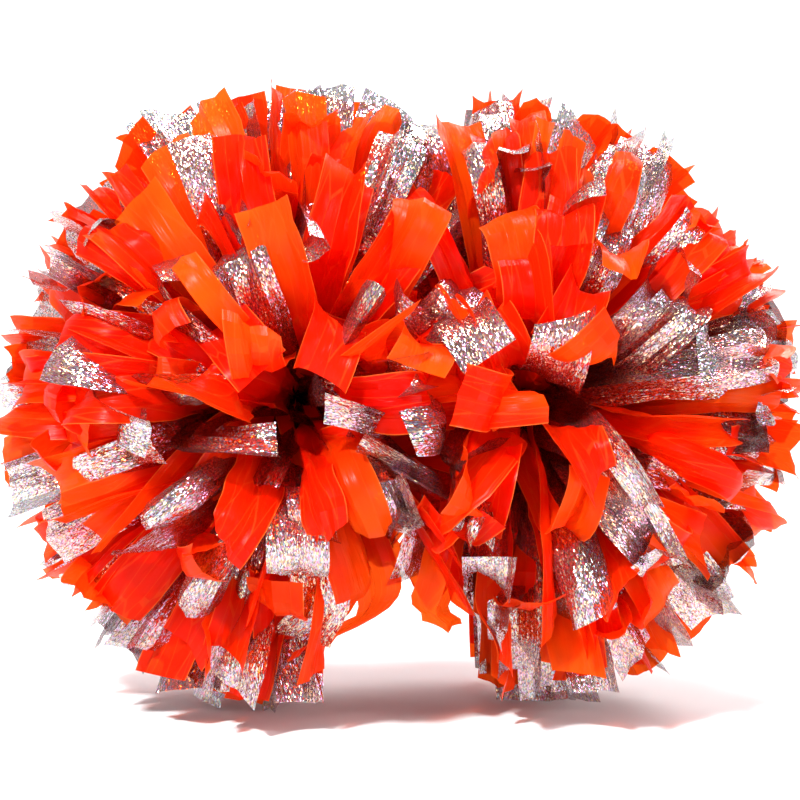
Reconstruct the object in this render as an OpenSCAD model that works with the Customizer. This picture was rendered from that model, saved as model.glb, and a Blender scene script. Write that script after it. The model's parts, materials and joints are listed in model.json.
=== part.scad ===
// Cheer pom pom: two tufts of plastic film held in the two eyes of a moulded handle.
// X runs along the grip, the front faces -Y and Z is up.
// The origin is on the floor, straight below the middle of the grip.

/* [Overall size] */
// Width over the streamer tips, along the grip
pom_w = 325; // [315:1:335]
// Height of the grip's axis above the floor
axis_h = 131; // [128:1:134]
// Reach of the streamers above the grip's axis
reach_up = 131; // [125:1:135]
// Reach of the lowest streamers below the axis, before the floor trims them
reach_down = 140; // [136:1:142]
// Reach of the streamers in front of the axis and behind it
reach_out = 124; // [118:1:128]

/* [Handle] */
// Distance between the centres of the two eyes
eye_spacing = 92; // [92:1:98]
// Opening of an eye at its narrowest
eye_bore_d = 20; // [20:0.5:21]
// Thickness of the round section that forms an eye
eye_bar_d = 6; // [5:0.5:6]
// Diameter of the grip at its middle
grip_d = 21; // [18:0.5:22]
// Diameter of the grip where it meets an eye
neck_d = 13; // [11:0.5:14]
// Height of the finger waves on the grip
wave_h = 0.5; // [0:0.1:0.8]

/* [Film] */
// Width of one streamer
streamer_w = 24; // [20:0.5:24]
// Thickness at which a sheet of film is modelled
film_t = 0.5; // [0.4:0.05:0.6]
// Diameter of the gathered waist of a tuft
waist_d = 17; // [16:0.5:17]
// Length of film beside the waist that is left uncut
uncut = 14; // [10:1:20]
// Lean of the innermost streamers towards the middle of the pom pom
fan_in = 13.5; // [10:0.5:13.5]
// Lean of the outermost streamers away from the middle
fan_out = 79; // [76:0.5:80]
// Sheets that dip more steeply than this leave room for a wrist
wrist_dip = 45; // [42:1:50]

/* [Ties] */
// Width of a cable tie's strap
tie_w = 4.4; // [3.6:0.2:4.6]
// Thickness of the strap
tie_t = 1.2; // [1:0.1:1.3]
// Radial height of the tie's head
head_h = 5; // [4:0.5:5.5]
// Distance of each tie from the middle of its eye
tie_y = 7.5; // [7.5:0.1:7.7]

/* [Hidden] */
$fn = 64;

SHEETS = 16;
STREAMERS = 8;
SILVER = [2, 4, 7, 9, 11, 14, 16];
STEEPEST = 87.5;
GAP = 0.1;
TIP_EDGE = 0.5;
FLOOR = 400;

eye_x = eye_spacing / 2;
eye_r = (eye_bore_d + eye_bar_d) / 2;
side_reach = pom_w / 2 - eye_x;
pitch = waist_d / (SHEETS + 1);
fan_step = (fan_in + fan_out) / (STREAMERS - 1);
first_bend = tie_y + tie_w / 2 + 0.8;
bend_step = 0.55;
grip_l = eye_spacing - 2 * eye_r;
head_w = 7;

// Sheets are numbered from the top one, 1, to the bottom one.
function is_silver(n) = len(search(n, SILVER)) > 0;
function two_digits(n) = str(n < 10 ? "0" : "", n);
function sheet_name(side, n) = str(side, is_silver(n) ? "_silver_" : "_red_", two_digits(n));

// Place of a sheet in the waist, and where and how it turns outward
function lift(n) = ((SHEETS + 1) / 2 - n) * pitch;
function slope(n) = STEEPEST * (1 - 2 * (n - 1) / (SHEETS - 1));
function bend_y(n) = first_bend + bend_step * min(n - 1, SHEETS - n);
function chord(n) = 2 * sqrt(pow(waist_d / 2, 2) - pow(abs(lift(n)) + pitch / 2, 2));

// Streamers are numbered from the innermost, 0, outward.
function first_streamer(n) = slope(n) < -wrist_dip ? 1 : 0;
function fan_angle(k) = fan_in - fan_step * k;
function root_x(n, k) = chord(n) * (0.5 - (k + 0.5) / STREAMERS);

// Distance from an eye's centre to the rounded outline of the tuft along a unit direction
function outline(d) = 1 / norm([
    d.x / side_reach,
    d.y / reach_out,
    d.z / (d.z < 0 ? reach_down : reach_up)
]);

// Length of a streamer from its bend to its tip
function streamer_l(n, k) =
    let (
        a = fan_angle(k),
        d = [sin(a), cos(a) * cos(slope(n)), cos(a) * sin(slope(n))],
        root = [root_x(n, k), bend_y(n), lift(n)]
    )
    outline(d) - d * root;

// A point on a flat fan: along a streamer, and across it towards the middle
function on_streamer(n, k, along, across) =
    let (a = fan_angle(k))
    [
        root_x(n, k) + along * sin(a) + across * cos(a),
        along * cos(a) - across * sin(a)
    ];

// Radius of the grip at t, which runs from -0.5 to 0.5 along it
function grip_r(t) =
    neck_d / 2 + (grip_d - neck_d) / 2 * cos(180 * t) - wave_h * (1 - cos(4 * 360 * t)) / 2;

// The moulded handle: a grip with finger waves between two round eyes
module handle() {
    steps = 40;
    profile = [for (i = [0:steps]) let (t = i / steps - 0.5) [grip_r(t), t * grip_l]];
    color("#202022")
    translate([0, 0, axis_h]) {
        rotate([0, 90, 0])
        rotate_extrude()
        polygon(concat([[0, -grip_l / 2]], profile, [[0, grip_l / 2]]));
        for (side = [-1, 1])
        translate([side * eye_x, 0, 0])
        rotate([90, 0, 0])
        rotate_extrude()
        translate([eye_r, 0])
        circle(d = eye_bar_d);
    }
}

// One nylon cable tie round the waist, its head on the outer side
module cable_tie() {
    inner_r = waist_d / 2 + 0.1;
    outer_r = inner_r + tie_t;
    rotate([90, 0, 0])
    difference() {
        union() {
            cylinder(r = outer_r, h = tie_w, center = true);
            translate([-inner_r - head_h / 2, 0, 0])
            cube([head_h, head_w, tie_w + 0.4], center = true);
        }
        cylinder(r = inner_r, h = tie_w + 2, center = true);
    }
}

// The two ties of the left tuft, in front of its eye and behind it
module tuft_ties() {
    color("#2b2b2e")
    for (way = [-1, 1])
    translate([-eye_x, way * tie_y, axis_h])
    cable_tie();
}

// Outline of one streamer: narrow where it is gathered, then full width to a square end
module streamer(n, k) {
    root_w = 0.9 * chord(n) / STREAMERS;
    spread = 1.8 * tan(fan_step / 2);
    tip = streamer_l(n, k);
    full_at = min((streamer_w - root_w) / spread, tip - TIP_EDGE);
    polygon([
        on_streamer(n, k, 0, -root_w / 2),
        on_streamer(n, k, full_at, -streamer_w / 2),
        on_streamer(n, k, tip, -streamer_w / 2),
        on_streamer(n, k, tip, streamer_w / 2),
        on_streamer(n, k, full_at, streamer_w / 2),
        on_streamer(n, k, 0, root_w / 2)
    ]);
}

// The uncut film between two neighbouring streamers
module web(n, k) {
    polygon([
        on_streamer(n, k, 0, 0),
        on_streamer(n, k, uncut, 0),
        on_streamer(n, k + 1, uncut, 0),
        on_streamer(n, k + 1, 0, 0)
    ]);
}

// One end of a sheet: a flat fan of streamers joined at its root
module fan(n) {
    for (k = [first_streamer(n):STREAMERS - 1])
    streamer(n, k);
    for (k = [first_streamer(n):STREAMERS - 2])
    web(n, k);
}

// The gathered middle of a sheet, a strap through the eye
module strap(n) {
    cube([chord(n), 2 * bend_y(n), pitch - GAP], center = true);
}

// One sheet of the left tuft: its strap, a fan in front of the eye and a fan behind it
module film_sheet(n) {
    color(is_silver(n) ? "#c9c9d2" : "#f2220c")
    difference() {
        translate([-eye_x, 0, axis_h + lift(n)]) {
            strap(n);
            for (way = [-1, 1])
            translate([0, way * bend_y(n), 0])
            rotate([way < 0 ? 180 - slope(n) : slope(n), 0, 0])
            linear_extrude(film_t, center = true)
            fan(n);
        }
        translate([0, 0, -FLOOR / 2])
        cube(FLOOR, center = true);
    }
}

module left_ties() {
    tuft_ties();
}

module right_ties() {
    mirror([1, 0, 0])
    tuft_ties();
}

handle();
left_ties();
right_ties();
for (n = [1:SHEETS]) {
    film_sheet(n);
    mirror([1, 0, 0]) film_sheet(n);
}
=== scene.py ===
"""Cheer pom pom: two tufts of red and holographic film streamers on a two-eye handle."""

import json
import math

import bpy
import numpy as np
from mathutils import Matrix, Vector


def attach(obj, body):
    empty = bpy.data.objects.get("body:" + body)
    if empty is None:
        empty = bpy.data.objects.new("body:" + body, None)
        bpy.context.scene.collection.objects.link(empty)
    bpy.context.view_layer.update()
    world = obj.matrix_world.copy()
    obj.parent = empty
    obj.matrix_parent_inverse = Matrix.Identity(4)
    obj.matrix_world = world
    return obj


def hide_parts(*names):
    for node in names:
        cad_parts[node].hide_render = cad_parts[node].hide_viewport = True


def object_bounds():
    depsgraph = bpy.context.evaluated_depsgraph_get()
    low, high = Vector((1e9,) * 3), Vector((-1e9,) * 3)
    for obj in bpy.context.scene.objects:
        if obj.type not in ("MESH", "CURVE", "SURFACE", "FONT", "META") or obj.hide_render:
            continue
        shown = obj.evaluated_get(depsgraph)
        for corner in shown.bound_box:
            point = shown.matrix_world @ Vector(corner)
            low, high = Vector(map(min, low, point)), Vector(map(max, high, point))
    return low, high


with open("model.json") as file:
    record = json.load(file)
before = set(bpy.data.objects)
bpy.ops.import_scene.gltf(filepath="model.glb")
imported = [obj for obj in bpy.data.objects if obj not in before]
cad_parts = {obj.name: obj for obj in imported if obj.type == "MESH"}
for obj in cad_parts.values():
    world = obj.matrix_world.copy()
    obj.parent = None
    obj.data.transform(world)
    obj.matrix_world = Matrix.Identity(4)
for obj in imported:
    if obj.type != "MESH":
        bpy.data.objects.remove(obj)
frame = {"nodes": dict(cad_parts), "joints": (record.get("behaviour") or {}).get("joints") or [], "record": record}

CAD_LOW, CAD_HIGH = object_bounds()

# Lengths are in metres. Angles are in degrees among these values and in PLACED, and in radians elsewhere.

# Sheets of film, gathered into a round waist as in part.scad
SHEETS = 16
WAIST_D = 0.017
PITCH = WAIST_D / (SHEETS + 1)
STEEPEST = 87.5
WRIST_DIP = 45.0  # sheets that dip more steeply leave room for a wrist
REACH_DOWN = 0.140
TIED_IN = 0.86  # size of the waist inside the ties, as a share of the CAD one
RIGHT_TOP = 0.95  # height of the right tuft above its eye, as a share of the left one's

# Streamers at each end of a sheet. They overlap, where the plain CAD fans have 8 side by side.
STREAMERS = 12
LEFT_OUT = 2  # streamers that a sheet leaves out where it makes room for a wrist
STREAMER_W = 0.024
HALF_LENGTH = 0.140
FAN_IN_STEEP = 16.5  # lean of a steep sheet's innermost streamer towards the other tuft
FAN_IN_LEVEL = 37.5  # the same lean on a level sheet
FAN_OUT = 79.0
FAN_STRAY = 5.0
RISE_STRAY = 7.0
INNERMOST_TURN = 4.0  # the innermost streamers turn in farther and stray more
INNERMOST_STRAY = 9.0
HUB_HOLLOW = 13.0  # half angle of the hollow at the middle of a rosette

# Where the two tufts meet, and what they keep clear of
SEAM_LEAN = 0.022  # how far each tuft leans over the other, in front or behind
SEAM_WAVE = 0.009
MINGLE = 0.016  # how far the two tufts' streamers run in among each other
PAST_MIDDLE = 0.060  # how far a streamer may run past the middle of the grip, clear of the hand
HAND_HALF_W = 0.030
WRIST_HALF_W = 0.034
FILM_LAID = 0.0004  # height of film that lies on the floor

# How a streamer is divided into faces
ROWS = 36
COLS = 8
SHARP = 20.0  # folds sharper than this show as edges
UV_STEP = 0.1  # each streamer's film map is moved sideways by a whole number of these
OWN_NUMBERS = 100  # how many different tones the streamers of one film have

EYE = {j["child"]: np.array(j["pos_m"]) for j in frame["joints"]}
UP = np.array([0.0, 0.0, 1.0])
WHITE = (1.0, 1.0, 1.0)


def unit(v):
    return v / np.linalg.norm(v)


def smooth(x):
    x = np.clip(x, 0.0, 1.0)
    return x * x * (3 - 2 * x)


def within(x, limit, fade):
    """1 well below the limit and 0 above it."""
    return smooth((limit - x) / fade)


def either(rng, share):
    """1 for this share of the draws, and otherwise -1."""
    return 1 if rng.random() < share else -1


def eye(side):
    return EYE["left_tuft" if side < 0 else "right_tuft"]


def slope(n):
    """How steeply sheet n rises from the waist, in degrees."""
    return STEEPEST * (1 - 2 * (n - 1) / (SHEETS - 1))


def lift(n):
    """Height of sheet n above the middle of the waist."""
    return ((SHEETS + 1) / 2 - n) * PITCH


def chord(n):
    """Width of sheet n where it is gathered into the round waist."""
    return 2 * math.sqrt((WAIST_D / 2) ** 2 - (abs(lift(n)) + PITCH / 2) ** 2)


def first_streamer(n):
    """The lower sheets leave out their innermost streamers, for the wrist."""
    return LEFT_OUT if slope(n) < -WRIST_DIP else 0


def share_of_reach(p, side):
    """How far out each point lies in the rounded form of its tuft: 0 at the eye, 1 at the outline."""
    off = p - eye(side)
    wide = CAD_HIGH[0] - abs(eye(side)[0])
    deep = CAD_HIGH[1]
    reach_up = (CAD_HIGH[2] - eye(side)[2]) * (1.0 if side < 0 else RIGHT_TOP)
    tall = np.where(off[..., 2] < 0, REACH_DOWN, reach_up)
    return np.sqrt((off[..., 0] / wide) ** 2 + (off[..., 1] / deep) ** 2 + (off[..., 2] / tall) ** 2)


def seam(p):
    """Where the two tufts meet, as an x for each point."""
    y, z = p[..., 1], p[..., 2] - eye(-1)[2]
    lean = SEAM_LEAN * np.tanh(-y / 0.04) * np.exp(-(((z + 0.010) / 0.080) ** 2))
    return lean + SEAM_WAVE * np.sin(z / 0.021 + y / 0.045) * np.tanh(np.abs(y) / 0.05)


def hand_room(p):
    """Half width, at each point, of the room for a hand round the grip and a wrist below it.

    It is negative where streamers may run past the middle."""
    y, z = np.abs(p[..., 1]), p[..., 2]
    hand = (PAST_MIDDLE + HAND_HALF_W) * within(y, 0.052, 0.014) * within(z, 0.176, 0.016)
    wrist = (PAST_MIDDLE + WRIST_HALF_W) * within(z, 0.058, 0.024)
    return np.maximum(hand, wrist) - PAST_MIDDLE


def turned(v, axis, angle):
    """Each row of v, turned about the same row of axis by the same row of angle."""
    c, s = np.cos(angle)[:, None], np.sin(angle)[:, None]
    dot = np.sum(axis * v, axis=1, keepdims=True)
    return v * c + np.cross(axis, v) * s + axis * dot * (1 - c)


def eased(shift):
    """A shift of each row, spread to the rows near it without becoming smaller anywhere."""
    rows = np.arange(len(shift))
    near = np.exp(-(((rows[:, None] - rows[None, :]) / 3.0) ** 2))
    return (near * shift[None, :]).max(axis=1)


# Streamers at the front that are set one by one: tuft's side, sheet and streamer, counted from the innermost
PLACED = {
    # A rolled silver streamer with an open mouth, under the right hub
    (1, 11, 5): dict(fan=-8, rise=-27, roll=2.0, curve=1.0, reach=1.0),
    # The broad red streamer over the right hub
    (1, 5, 5): dict(fan=-3, rise=44, curve=0.55, reach=0.97, own=40),
    # Broad silver streamers that point right
    (1, 7, 8): dict(fan=-40, rise=13, curve=0.25, reach=0.97),
    (1, 9, 8): dict(fan=-50, rise=-8, curve=0.35, reach=0.93),
    # The pale orange streamer at the upper left: its palest tone (own=99) is painted light, standing in for direct
    # light on the film
    (-1, 3, 6): dict(fan=-22, rise=58, curve=0.15, reach=0.94, own=99),
    # The silver streamers at the top of the left tuft
    (-1, 2, 0): dict(fan=16, rise=74, curve=0.2, reach=1.0),
    (-1, 2, 2): dict(fan=5, rise=70, curve=-0.15, reach=0.99),
    (-1, 4, 2): dict(fan=17, rise=55, curve=0.25, reach=0.96),
    # A silver tip turned down under the left hub
    (-1, 9, 5): dict(fan=0, rise=-16, curve=0.1, reach=0.80, curl_from=0.74),
    # Streamers that cross to the other tuft
    (-1, 3, 0): dict(fan=27, rise=62, curve=0.3, reach=0.95),
    (1, 4, 0): dict(fan=30, rise=50, curve=-0.3, reach=0.93),
    (-1, 5, 0): dict(fan=44, rise=38, curve=0.3, reach=1.05),
    (1, 6, 0): dict(fan=52, rise=24, curve=0.3, reach=1.05),
    (-1, 10, 0): dict(fan=50, rise=-20, curve=0.4, reach=1.0),
    (1, 10, 0): dict(fan=36, rise=-22, curve=-0.3, reach=0.95),
    # Streamers in front of the grip
    (-1, 6, 0): dict(fan=34, rise=20, curve=0.3, reach=0.90),
    (-1, 7, 0): dict(fan=40, rise=10, curve=0.3, reach=0.92),
    (-1, 8, 0): dict(fan=36, rise=-3, curve=0.5, reach=0.85),
    (1, 7, 0): dict(fan=37, rise=9, curve=0.5, reach=0.88),
    (1, 8, 0): dict(fan=33, rise=-8, curve=0.4, reach=0.90),
    # The tips that reach farthest to each side
    (1, 3, 11): dict(fan=-78, rise=55, curve=0.2, reach=1.05, own=95),
    (1, 4, 11): dict(fan=-76, rise=45, curve=0.2, reach=1.03),
    (-1, 13, 11): dict(fan=-78, rise=-50, curve=0.2, reach=1.03, own=90),
    (-1, 14, 11): dict(fan=-75, rise=-60, curve=0.2, reach=1.03),
}


def drawn_direction(rng, n, k):
    """The fan and rise angles of a streamer: an even place in its fan, and some stray."""
    level = math.cos(math.radians(slope(n)))
    inner = math.sin(math.radians(FAN_IN_STEEP + (FAN_IN_LEVEL - FAN_IN_STEEP) * level))
    outer = math.sin(math.radians(FAN_OUT))
    fan = math.asin(inner - (inner + outer) * k / (STREAMERS - 1))
    stray = rng.normal(INNERMOST_TURN, INNERMOST_STRAY) if k == 0 else rng.normal(0, FAN_STRAY)
    rise = slope(n) + rng.normal(0, RISE_STRAY)
    return fan + math.radians(stray), math.radians(rise)


class Streamer:
    """One end of a streamer, from the middle of its eye to its tip."""

    ROLL = 1.5  # steepest slope across the film, so that a plain streamer doesn't roll up
    PLEAT = 1.42  # slope of the pleats in the waist
    CURLIEST = 2.6
    SHORTEST = 0.945  # smallest share of the tuft's reach that a streamer curls to stay within
    FACING = 1.2  # a streamer that opens less than this points to the front or back
    SHORTER = 0.42  # share of its reach that such a streamer may lose
    LATER = 0.22  # how much nearer its tip it starts to curl, as a share of its length

    def __init__(self, rng, side, way, n, k):
        """side is -1 for the left tuft and 1 for the right; way is -1 for the front and 1 for the back."""
        self.side = side
        fan, rise = drawn_direction(rng, n, k)
        self.draw_shape(rng, k == 0)
        placed = PLACED.get((side, n, k)) if way < 0 else None
        if placed:
            fan, rise = math.radians(placed["fan"]), math.radians(placed["rise"])
        self.aim(way, fan, rise)
        across = (0.5 - (k + 0.5) / STREAMERS) * TIED_IN * chord(n)
        self.root = eye(side) + np.array([-side * across, 0.0, TIED_IN * lift(n)])
        if placed:
            self.set_by_hand(placed, k == 0)
        else:
            facing = max(0.0, 1 - self.open / self.FACING)
            # The nearer it points to the front or back, the more it may cup
            self.cup *= 0.22 + 0.40 * max(0.0, 1 - self.open / 1.3)
            self.reach -= self.SHORTER * facing * self.shortfall
            self.curl_from += self.LATER * facing * self.length
        self.curl = self.best_curl()

    def draw_shape(self, rng, innermost):
        """Everything about the streamer that is left to chance. The order of the draws matters."""
        self.length = HALF_LENGTH * rng.uniform(0.975, 1.0)
        self.s = np.linspace(0, self.length, ROWS)
        # Where it leaves the waist, how far it takes to open, and how it curls, sways and droops
        self.straight = rng.uniform(0.006, 0.011)
        self.bend = rng.uniform(0.010, 0.024)
        self.curl_way = either(rng, 0.8)
        self.curl_from = rng.uniform(0.3, 0.65) * self.length
        self.sway = rng.normal(0, 0.15)
        self.sway_at = rng.uniform(0, 2 * math.pi)
        self.droop = 0.10 + 0.08 * rng.random()
        self.kinks = [
            (rng.uniform(0.3, 0.6) * self.length, rng.normal(0, 0.25)),
            (rng.uniform(0.6, 0.9) * self.length, rng.normal(0, 0.40)),
        ]
        self.twist_root = rng.normal(0, 0.40)
        self.twist_tip = rng.normal(0, 0.8)
        # Pleats, one fold along its middle, creases beside it, and the slant of its cut end
        self.pleat_end = rng.uniform(0.035, 0.070)
        self.fold = rng.uniform(0.15, 0.95) * either(rng, 0.5)
        self.fold_tip = rng.uniform(0.2, 1.4) * self.fold
        self.crease = rng.uniform(0.0, 0.42) * rng.choice([-1, 1])
        self.roll = self.ROLL
        self.cut = rng.normal(0, 0.18)
        # How far short of the seam it stops
        self.margin = rng.uniform(-0.030 if innermost else -0.015, 0.004)
        # Every third of the first twelve draws starts a ripple, and the others are not used
        self.ripples = rng.uniform(0, 2 * math.pi, size=18)[:12:3]
        # Creases across the film: place along it, lean and depth
        self.creases = [
            (
                rng.uniform(0.3, 1.0) * self.length,
                rng.uniform(0.3, 1.2) * rng.choice([-1, 1]),
                rng.normal(0, 0.20),
            )
            for _ in range(4)
        ]
        self.cup = rng.normal(0, 1)
        self.shortfall = rng.random()
        self.reach = self.SHORTEST + (1 - self.SHORTEST) * rng.random() ** 1.3
        self.own = int(rng.integers(1, 200))

    def aim(self, way, fan, rise):
        """Sets the streamer's direction, once it has opened, and the axes that it bends in."""
        self.axis = np.array([0.0, way, 0.0])
        d = np.array([
            -self.side * math.sin(fan),
            way * math.cos(fan) * math.cos(rise),
            math.cos(fan) * math.sin(rise),
        ])
        self.width_axis = unit(np.cross(self.axis, d))
        self.radial = unit(np.cross(self.width_axis, self.axis))
        self.open = math.hypot(math.acos(np.dot(self.axis, d)), math.radians(HUB_HOLLOW))

    def set_by_hand(self, placed, innermost):
        """A placed streamer is smoother than the others, and lies where PLACED says."""
        self.own = placed.get("own", self.own)
        self.curl_from = placed.get("curl_from", 0.55) * self.length
        self.roll = placed.get("roll", self.roll)
        self.cup = placed["curve"] * self.roll / self.ROLL
        self.reach = placed["reach"]
        self.curl_way = 1
        self.kinks = []
        self.sway = 0.0
        self.twist_root, self.twist_tip = 0.1 * self.twist_root, 0.25 * self.twist_tip
        self.fold, self.fold_tip = 0.5 * self.fold, 0.5 * self.fold_tip
        if innermost:
            self.margin = -0.040

    def directions(self, curl):
        """Unit direction of the streamer at each row."""
        s = self.s
        angle = self.open * smooth((s - self.straight) / self.bend)
        tip = np.clip((s - self.curl_from) / (self.length - self.curl_from), 0, 1)
        angle = angle + self.curl_way * curl * tip ** 1.4
        for at, bend in self.kinks:
            angle = angle + bend * smooth((s - at) / 0.004)
        yaw = self.sway * smooth(s / 0.05) * np.sin(s / 0.045 + self.sway_at)
        t = (
            (self.axis * np.cos(angle)[:, None] + self.radial * np.sin(angle)[:, None])
            * np.cos(yaw)[:, None]
            + self.width_axis * np.sin(yaw)[:, None]
        )
        t = t - UP * (self.droop * (s / self.length) ** 1.5)[:, None]
        return t / np.linalg.norm(t, axis=1, keepdims=True)

    def path(self, curl):
        """The streamer's middle line, and its direction at each row."""
        t = self.directions(curl)
        steps = (t[1:] + t[:-1]) / 2 * self.length / (ROWS - 1)
        return np.vstack([self.root, self.root + np.cumsum(steps, axis=0)]), t

    def best_curl(self):
        """The curl that keeps the streamer within its share of the tuft's reach."""
        low, high = 0.0, self.CURLIEST
        for _ in range(8):
            mid = (low + high) / 2
            if share_of_reach(self.path(mid)[0], self.side).max() > self.reach:
                low = mid
            else:
                high = mid
        return (low + high) / 2

    def section(self):
        """Places across and above the middle line for each row's points. Every row keeps the film's width."""
        s = self.s[:, None]
        i = np.arange(COLS)[None, :]
        # Which way each face slopes in narrow pleats, in wide ones and in a single fold
        fine = np.where(i % 2 == 0, 1.0, -1.0)
        coarse = np.where((i // 2) % 2 == 0, 1.0, -1.0)
        single = np.where(i < COLS // 2, 1.0, -1.0)
        loose = smooth((s - 0.018) / 0.03)
        gathered = 1 - smooth((s - 0.008) / self.pleat_end)
        pleat = self.PLEAT * gathered * (fine * (1 - loose) + coarse * loose)
        opened = smooth((s - 0.02) / 0.05)
        tip = smooth((s - 0.5 * self.length) / (0.5 * self.length))
        fold = single * opened * (self.fold * (1 - tip) + self.fold_tip * tip)
        fold = fold + self.crease * coarse * opened
        cup = self.cup * opened * (1 - 2 * (i + 0.5) / COLS)
        ripple = sum(
            0.10 * np.sin(s * (90 + 60 * m) + (i + 1) * (0.7 + 0.5 * m) + start)
            for m, start in enumerate(self.ripples)
        )
        theta = np.clip(pleat + fold + cup + ripple * opened, -self.roll, self.roll)
        face_w = STREAMER_W / COLS
        across = np.hstack([np.zeros((ROWS, 1)), np.cumsum(face_w * np.cos(theta), axis=1)])
        above = np.hstack([np.zeros((ROWS, 1)), np.cumsum(face_w * np.sin(theta), axis=1)])
        return (
            across - across.mean(axis=1, keepdims=True),
            above - above.mean(axis=1, keepdims=True),
        )

    def points(self):
        """Vertices, ROWS by COLS + 1 by 3."""
        centre, t = self.path(self.curl)
        w = self.width_axis - t * (t @ self.width_axis)[:, None]
        w = w / np.linalg.norm(w, axis=1, keepdims=True)
        twist = self.twist_root * smooth(self.s / 0.04) + self.twist_tip * (self.s / self.length) ** 1.3
        w = turned(w, t, twist)
        up = np.cross(t, w)  # out of the film
        across, above = self.section()
        flat = np.linspace(-0.5, 0.5, COLS + 1)[None, :] * STREAMER_W
        opened = smooth((self.s - 0.02) / 0.05)[:, None]
        for at, lean, depth in self.creases:
            off = self.s[:, None] - at - lean * flat
            above = above + depth * opened * np.exp(-np.abs(off) / 0.010) * np.abs(off)
        along = self.cut * across * smooth((self.s - 0.1) / 0.03)[:, None]
        p = (
            centre[:, None, :]
            + w[:, None, :] * across[..., None]
            + up[:, None, :] * above[..., None]
            + t[:, None, :] * along[..., None]
        )
        return self.kept_clear(p)

    def kept_clear(self, p):
        """The film leans on the floor and on the other tuft, and leaves room for a hand and wrist."""
        inward = -self.side * p[..., 0]
        over = np.maximum(inward + self.side * seam(p) + self.margin, 0)
        past = np.maximum(over - MINGLE * np.tanh(over / MINGLE), inward + hand_room(p))
        p[..., 0] += self.side * eased(np.maximum(past.max(axis=1), 0))[:, None]
        p[..., 2] += eased(np.maximum(FILM_LAID - p[..., 2].min(axis=1), 0))[:, None]
        p[..., 2] = np.maximum(p[..., 2], FILM_LAID)
        return p


def sheet_seed(side, n):
    return 1000 + 100 * n + (7 if side > 0 else 0)


def film_mesh(name, side, n):
    """The streamers at both ends of one sheet, as one mesh with a UV map in metres."""
    rng = np.random.default_rng(sheet_seed(side, n))
    points, uvs, faces = [], [], []
    start = 0
    grid = np.arange(ROWS * (COLS + 1)).reshape(ROWS, COLS + 1)
    quads = np.stack(
        [grid[:-1, :-1], grid[:-1, 1:], grid[1:, 1:], grid[1:, :-1]], axis=-1
    ).reshape(-1, 4)
    for way in (-1, 1):
        for k in range(first_streamer(n), STREAMERS):
            one = Streamer(rng, side, way, n, k)
            points.append(one.points().reshape(-1, 3))
            u = (np.arange(COLS + 1) / COLS - 0.5) * STREAMER_W + UV_STEP * one.own
            u = np.broadcast_to(u, (ROWS, COLS + 1))
            v = np.broadcast_to(one.s[:, None], (ROWS, COLS + 1))
            uvs.append(np.stack([u, v], axis=-1).reshape(-1, 2))
            faces.append(quads + start)
            start += ROWS * (COLS + 1)
    mesh = bpy.data.meshes.new(name)
    mesh.from_pydata(np.vstack(points).tolist(), [], np.vstack(faces).tolist())
    layer = mesh.uv_layers.new(name="film")
    corners = np.empty(len(mesh.loops), dtype=np.int32)
    mesh.loops.foreach_get("vertex_index", corners)
    layer.data.foreach_set("uv", np.vstack(uvs)[corners].ravel().astype(np.float32))
    mesh.shade_smooth()
    mesh.set_sharp_from_angle(angle=math.radians(SHARP))
    return mesh


class Nodes:
    """Short names for building one material's nodes."""

    def __init__(self, name):
        self.material = bpy.data.materials.new(name)
        self.material.use_nodes = True
        self.tree = self.material.node_tree
        self.tree.nodes.clear()

    def add(self, kind, **values):
        """A node; a value is put on the socket of its name, or linked to it if it is a socket."""
        node = self.tree.nodes.new(kind)
        for key, value in values.items():
            if key in node.inputs:
                self.put(node.inputs[key], value)
            else:
                setattr(node, key, value)
        return node

    def put(self, socket, value):
        if isinstance(value, bpy.types.NodeSocket):
            self.tree.links.new(value, socket)
        else:
            socket.default_value = value

    def math(self, operation, *values):
        node = self.add("ShaderNodeMath", operation=operation)
        for socket, value in zip(node.inputs, values):
            self.put(socket, value)
        return node.outputs[0]

    def vector(self, operation, *values, scale=None):
        node = self.add("ShaderNodeVectorMath", operation=operation)
        for socket, value in zip(node.inputs, values):
            self.put(socket, value)
        if scale is not None:
            self.put(node.inputs["Scale"], scale)
        return node.outputs[0]

    def ramp(self, value, *stops):
        node = self.add("ShaderNodeValToRGB", Fac=value)
        elements = node.color_ramp.elements
        while len(elements) < len(stops):
            elements.new(0.5)
        for element, (place, colour) in zip(elements, stops):
            element.position = place
            element.color = (*colour, 1)
        return node.outputs["Color"]

    def mix_colour(self, share, first, second, blend_type="MIX"):
        node = self.add("ShaderNodeMix", data_type="RGBA", blend_type=blend_type, Factor=share)
        self.put(node.inputs["A"], first)
        self.put(node.inputs["B"], second)
        return node.outputs["Result"]

    def mix_shader(self, share, first, second):
        node = self.add("ShaderNodeMixShader")
        self.put(node.inputs[0], share)
        self.put(node.inputs[1], first)
        self.put(node.inputs[2], second)
        return node.outputs[0]

    def finish(self, shader):
        output = self.add("ShaderNodeOutputMaterial")
        self.tree.links.new(shader, output.inputs["Surface"])
        return self.material


def film_place(m):
    """The film's own UV map, in metres, and its two numbers: across the streamer and along it."""
    place = m.add("ShaderNodeUVMap", uv_map="film").outputs["UV"]
    parts = m.add("ShaderNodeSeparateXYZ", Vector=place)
    return place, parts.outputs["X"], parts.outputs["Y"]


def own_number(m, across):
    """A number from 0 to 1 for each streamer, from where its film map lies."""
    step = m.math("ROUND", m.math("DIVIDE", across, UV_STEP))
    return m.math("FRACT", m.math("DIVIDE", step, OWN_NUMBERS))


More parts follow.
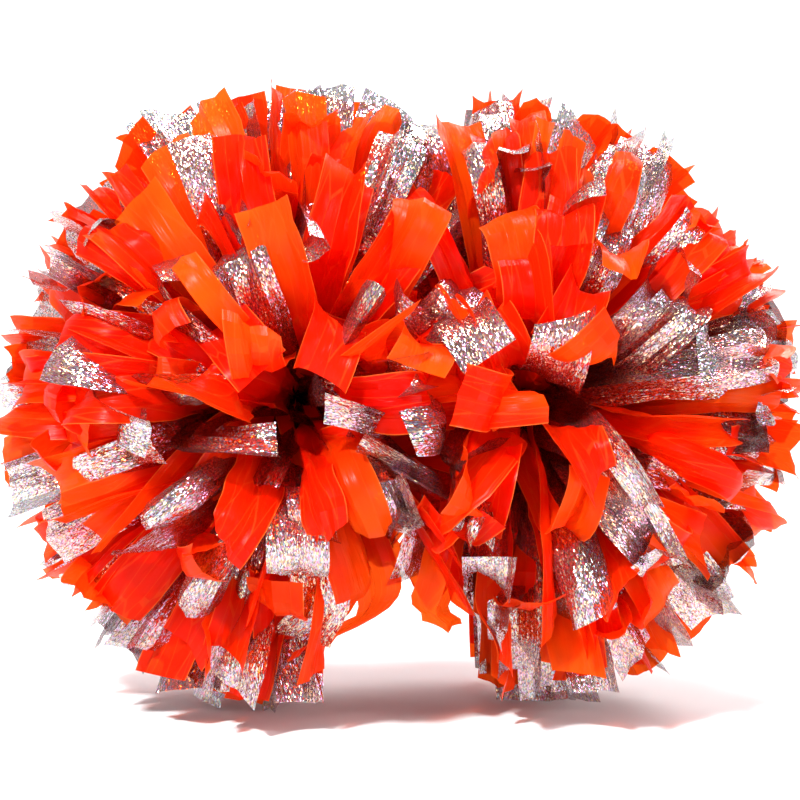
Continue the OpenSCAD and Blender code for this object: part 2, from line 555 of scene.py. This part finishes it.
def creases(m, place, strength):
    """Normal of film with long soft wrinkles and sharp random creases, and the distance to a crease."""
    along = m.vector("MULTIPLY", place, (480.0, 50.0, 1.0))
    wrinkles = m.add("ShaderNodeTexNoise", Vector=along, Scale=1.0, Detail=3.0)
    folded = m.vector("MULTIPLY", place, (170.0, 17.0, 1.0))
    crumple = m.add("ShaderNodeTexVoronoi", Vector=folded, Scale=1.0, feature="DISTANCE_TO_EDGE")
    height = m.math(
        "ADD",
        m.math("MULTIPLY", wrinkles.outputs["Fac"], 0.6),
        m.math("MULTIPLY", crumple.outputs["Distance"], 0.9),
    )
    bump = m.add("ShaderNodeBump", Strength=strength, Distance=0.0012, Height=height)
    return bump.outputs["Normal"], crumple.outputs["Distance"]


def red_film():
    """Translucent red film with painted shade: deeper red inside the tuft and paler towards the tips; paler also
    at folds and edges.
    """
    m = Nodes("red_film")
    place, across, along = film_place(m)
    normal, to_crease = creases(m, place, 0.65)
    haze = m.add("ShaderNodeTexNoise", Vector=place, Scale=28.0, Detail=2.0)
    tone = m.math("MULTIPLY_ADD", own_number(m, across), 0.45, m.math("MULTIPLY", haze.outputs["Fac"], 0.6))
    # Painted shade: the tone rises from the root to the tip, so film deep inside the tuft is darker red and the
    # tips are paler.
    tone = m.math("ADD", tone, m.math("MULTIPLY_ADD", along, 2.6, -0.31))
    body = m.ramp(
        tone,
        (0.20, (0.80, 0.003, 0.0003)),
        (0.55, (0.92, 0.020, 0.0008)),
        (0.80, (1.0, 0.12, 0.003)),
    )
    off_middle = m.math("PINGPONG", across, UV_STEP / 2)
    edge = m.math("GREATER_THAN", off_middle, STREAMER_W / 2 - 0.0004)
    line = m.math("LESS_THAN", to_crease, 0.018)
    marks = m.math("MAXIMUM", edge, m.math("MULTIPLY", line, 0.3))
    front = m.add(
        "ShaderNodeBsdfPrincipled",
        **{
            "Base Color": m.mix_colour(marks, body, (1.0, 0.15, 0.02, 1)),
            "Roughness": 0.28,
            "IOR": 1.3,
            "Specular IOR Level": 0.28,
            "Normal": normal,
        },
    )
    through = m.add("ShaderNodeBsdfTranslucent", Color=(1.0, 0.045, 0.002, 1), Normal=normal)
    clear = m.add("ShaderNodeBsdfTransparent", Color=(0.97, 0.12, 0.008, 1))
    soft = m.mix_shader(0.45, front.outputs[0], through.outputs[0])
    return m.finish(m.mix_shader(0.25, soft, clear.outputs[0]))


def silver_film():
    """Holographic film: small facets that each tilt and take a hue, with a painted reflection that makes it redder
    and darker deep inside the tuft.
    """
    m = Nodes("silver_film")
    place, across, along = film_place(m)
    normal, _ = creases(m, place, 0.75)
    cells = m.add(
        "ShaderNodeTexVoronoi",
        Vector=m.vector("MULTIPLY", place, (2500.0, 1300.0, 1.0)),
        Scale=1.0,
        voronoi_dimensions="2D",
    )
    lean = m.vector("SUBTRACT", cells.outputs["Color"], (0.5, 0.5, 0.5))
    tilted = m.vector("ADD", normal, m.vector("SCALE", lean, scale=0.62))
    parts = m.add("ShaderNodeSeparateColor", Color=cells.outputs["Color"])
    hues = m.ramp(
        parts.outputs["Red"],
        (0.0, (1.0, 0.40, 0.72)),
        (0.22, (0.76, 0.62, 1.0)),
        (0.42, (0.52, 0.92, 1.0)),
        (0.58, (0.97, 1.0, 0.96)),
        (0.80, (1.0, 0.92, 0.45)),
        (1.0, (1.0, 0.58, 0.50)),
    )
    grey = m.ramp(parts.outputs["Green"], (0.0, (0.20, 0.18, 0.18)), (0.8, (0.86, 0.80, 0.79)))
    silver = m.mix_colour(1.0, grey, hues, "MULTIPLY")
    # Painted reflection: towards the root the foil is multiplied by a darker red, standing in for the red film
    # around it reflected deep inside the tuft.
    outward = m.math("MULTIPLY_ADD", own_number(m, across), -0.35, m.math("DIVIDE", along, HALF_LENGTH))
    painted_root_reflection = m.ramp(outward, (0.15, (1.0, 0.20, 0.14)), (0.80, WHITE))
    foil = m.add(
        "ShaderNodeBsdfPrincipled",
        **{
            "Base Color": m.mix_colour(1.0, silver, painted_root_reflection, "MULTIPLY"),
            "Metallic": 0.96,
            "Roughness": 0.14,
            "Normal": m.vector("NORMALIZE", tilted),
        },
    )
    clear = m.add("ShaderNodeBsdfTransparent", Color=(0.97, 0.95, 0.96, 1))
    return m.finish(m.mix_shader(0.14, foil.outputs[0], clear.outputs[0]))


def moulded_plastic(name, colour, roughness):
    """Dark moulded plastic with a fine even grain."""
    m = Nodes(name)
    place = m.add("ShaderNodeTexCoord").outputs["Object"]
    grain = m.add("ShaderNodeTexNoise", Vector=place, Scale=1800.0, Detail=2.0)
    worn = m.add("ShaderNodeTexNoise", Vector=place, Scale=60.0, Detail=3.0)
    bump = m.add("ShaderNodeBump", Strength=0.25, Distance=0.0002, Height=grain.outputs["Fac"])
    tone = m.ramp(worn.outputs["Fac"], (0.3, colour), (0.8, tuple(1.5 * c for c in colour)))
    rough = m.math("MULTIPLY_ADD", worn.outputs["Fac"], 0.15, roughness)
    shader = m.add(
        "ShaderNodeBsdfPrincipled",
        **{"Base Color": tone, "Roughness": rough, "Normal": bump.outputs["Normal"]},
    )
    return m.finish(shader.outputs[0])


def paint(obj, material):
    obj.data.materials.clear()
    obj.data.materials.append(material)


def build_sheets():
    """Every sheet of film, in place of its plain CAD solid."""
    films = {"red": red_film(), "silver": silver_film()}
    for body, side in (("left_tuft", -1), ("right_tuft", 1)):
        for node in frame["record"]["behaviour"]["bodies"][body]:
            if node.endswith("ties"):
                continue
            colour, number = node.split("_")[1:]
            n = int(number)
            name = node + "_film"
            obj = bpy.data.objects.new(name, film_mesh(name, side, n))
            bpy.context.scene.collection.objects.link(obj)
            paint(obj, films[colour])
            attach(obj, body)
            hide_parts(node)


def finish_hardware():
    """The handle and the ties keep their CAD shape and get their materials."""
    paint(frame["nodes"]["handle"], moulded_plastic("handle_plastic", (0.018, 0.018, 0.020), 0.38))
    nylon = moulded_plastic("tie_nylon", (0.03, 0.03, 0.033), 0.3)
    for node in ("left_ties", "right_ties"):
        paint(frame["nodes"][node], nylon)


def stage():
    """A pale floor that curves up into a backdrop."""
    front, back, radius, top, half_w = -3.0, 1.2, 0.8, 4.0, 4.0
    rows = [(front, 0.0), (back, 0.0)]
    rows += [
        (back + radius * math.sin(a), radius - radius * math.cos(a))
        for a in np.linspace(0.15, math.pi / 2, 12)
    ]
    rows.append((back + radius, top))
    verts = [(x, y, z) for y, z in rows for x in (-half_w, half_w)]
    faces = [(2 * i, 2 * i + 1, 2 * i + 3, 2 * i + 2) for i in range(len(rows) - 1)]
    mesh = bpy.data.meshes.new("floor")
    mesh.from_pydata(verts, [], faces)
    mesh.shade_smooth()
    floor = bpy.data.objects.new("floor", mesh)
    bpy.context.scene.collection.objects.link(floor)
    m = Nodes("floor")
    shader = m.add("ShaderNodeBsdfPrincipled", **{"Base Color": (0.9, 0.9, 0.9, 1), "Roughness": 0.9})
    paint(floor, m.finish(shader.outputs[0]))


def light(name, place, size, power):
    """A square soft light that faces the pom pom."""
    data = bpy.data.lights.new(name, "AREA")
    data.shape = "SQUARE"
    data.size = size
    data.energy = power
    obj = bpy.data.objects.new(name, data)
    obj.location = place
    target = Vector((0, 0, eye(-1)[2]))
    obj.rotation_euler = (target - Vector(place)).to_track_quat("-Z", "Y").to_euler()
    bpy.context.scene.collection.objects.link(obj)


def lighting():
    """A sky that is brighter low down, and four soft lights."""
    world = bpy.data.worlds.new("studio")
    world.use_nodes = True
    nodes, links = world.node_tree.nodes, world.node_tree.links
    background = nodes["Background"]
    background.inputs["Color"].default_value = (0.97, 0.98, 1.0, 1)
    direction = nodes.new("ShaderNodeTexCoord")
    height = nodes.new("ShaderNodeSeparateXYZ")
    strength = nodes.new("ShaderNodeMapRange")
    for name, value in (("From Min", 0.20), ("From Max", 0.45), ("To Min", 0.80), ("To Max", 0.36)):
        strength.inputs[name].default_value = value
    links.new(direction.outputs["Generated"], height.inputs[0])
    links.new(height.outputs["Z"], strength.inputs["Value"])
    links.new(strength.outputs["Result"], background.inputs["Strength"])
    bpy.context.scene.world = world
    light("key", (-0.8, -1.5, 1.5), 0.15, 80)
    light("fill", (1.4, -1.3, 0.7), 0.8, 18)
    light("top", (0.1, 0.2, 1.9), 0.6, 30)
    light("back", (0.6, 1.0, 1.0), 0.6, 14)


def camera():
    """The photograph's view: from the front, a little above and a little to the left."""
    distance = 0.95
    frame_width = 0.3335  # of the plane through the handle that the picture takes in
    aim = Vector((0.0, 0.0, 0.1285))
    tilt, turn = math.radians(3.0), math.radians(-4.0)
    data = bpy.data.cameras.new("camera")
    data.sensor_width = 36.0
    data.lens = data.sensor_width * distance / frame_width
    data.clip_start = 0.05
    obj = bpy.data.objects.new("camera", data)
    away = Vector((math.sin(turn) * math.cos(tilt), -math.cos(turn) * math.cos(tilt), math.sin(tilt)))
    obj.location = aim + distance * away
    obj.rotation_euler = (aim - obj.location).to_track_quat("-Z", "Y").to_euler()
    bpy.context.scene.collection.objects.link(obj)
    bpy.context.scene.camera = obj


def render_look():
    """Plain colours, and no more light bounces than the film needs."""
    scene = bpy.context.scene
    scene.view_settings.view_transform = "Standard"
    scene.cycles.max_bounces = 7
    scene.cycles.diffuse_bounces = 4
    scene.cycles.glossy_bounces = 4
    scene.cycles.transparent_max_bounces = 6


camera()
render_look()
lighting()
stage()
finish_hardware()
build_sheets()
